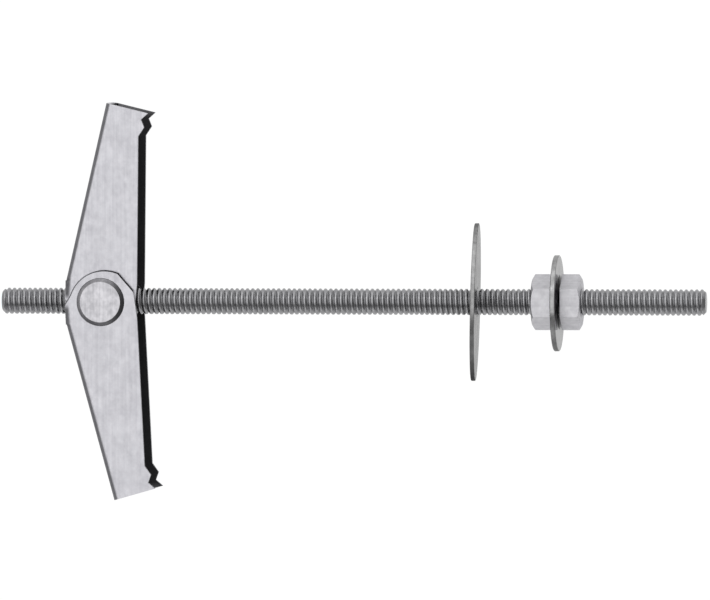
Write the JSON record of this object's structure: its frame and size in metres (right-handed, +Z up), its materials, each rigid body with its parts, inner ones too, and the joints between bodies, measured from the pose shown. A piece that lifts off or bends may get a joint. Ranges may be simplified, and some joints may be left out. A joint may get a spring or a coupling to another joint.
{
  "type": "spring toggle bolt",
  "caption": "Spring toggle bolt: threaded rod with sprung folding sheet-metal wings on a barrel nut, a wide plate washer, and hex nuts on either side of a flat washer.",
  "frame": {"origin": "on the surface that the bolt lies on, under the middle of its box", "axes": "+X along the rod as seen from above, from the wings to the nuts; +Y towards the upper wing's tip; +Z up"},
  "size_m": [0.171, 0.0964, 0.0381],
  "materials": {
    "threaded_zinc": "zinc plated, rolled thread",
    "turned_zinc": "zinc plated, turned",
    "spring_wire": "drawn wire",
    "pressed_zinc": "zinc plated sheet",
    "washer_zinc": "zinc plated, punched",
    "nut_zinc": "zinc plated, cold formed"
  },
  "bodies": {
    "rod": {"threaded_rod": "threaded_zinc"},
    "barrel": {"trunnion_nut": "turned_zinc", "torsion_spring": "spring_wire"},
    "upper_wing": {"upper_wing": "pressed_zinc"},
    "lower_wing": {"lower_wing": "pressed_zinc"},
    "plate_washer": {"plate_washer": "washer_zinc"},
    "flat_washer": {"flat_washer": "washer_zinc"},
    "front_nut": {"front_nut": "nut_zinc"},
    "rear_nut": {"rear_nut": "nut_zinc"}
  },
  "joints": [
    {"name": "barrel_travel", "type": "slide", "parent": "rod", "child": "barrel", "axis": [0.9938, 0, 0.1108], "range_m": [-0.018, 0.048]},
    {"name": "upper_wing_fold", "type": "hinge", "parent": "barrel", "child": "upper_wing", "pos_m": [-0.06035, -0.00004, 0.00873], "axis": [0.1108, -0.0363, -0.9932], "range_deg": [0, 78], "stiffness_Nm_per_rad": 0.055, "springref_deg": -14.9, "deforming": ["torsion_spring"]},
    {"name": "lower_wing_fold", "type": "hinge", "parent": "barrel", "child": "lower_wing", "pos_m": [-0.06035, -0.00004, 0.00873], "axis": [-0.1108, 0.0363, 0.9932], "range_deg": [0, 78], "stiffness_Nm_per_rad": 0.055, "springref_deg": -14.9},
    {"name": "plate_washer_travel", "type": "slide", "parent": "rod", "child": "plate_washer", "axis": [0.9938, 0, 0.1108], "range_m": [-0.078, 0.0123]},
    {"name": "nut_stack_travel", "type": "slide", "parent": "rod", "child": "flat_washer", "axis": [0.9938, 0, 0.1108], "range_m": [-0.0123, 0.029]},
    {"name": "front_nut_turn", "type": "hinge", "parent": "flat_washer", "child": "front_nut", "pos_m": [0.04346, -0.00004, 0.0203], "axis": [0.9938, 0, 0.1108], "range_deg": [-3491.61, 8225.47]},
    {"name": "rear_nut_turn", "type": "hinge", "parent": "flat_washer", "child": "rear_nut", "pos_m": [0.05041, -0.00004, 0.02108], "axis": [0.9938, 0, 0.1108], "range_deg": [-3491.61, 8225.47]}
  ],
  "couplings": [
    {"joint": "front_nut_turn", "follows": "nut_stack_travel", "rad_per_m": 4947.4},
    {"joint": "rear_nut_turn", "follows": "nut_stack_travel", "rad_per_m": 4947.4}
  ]
}
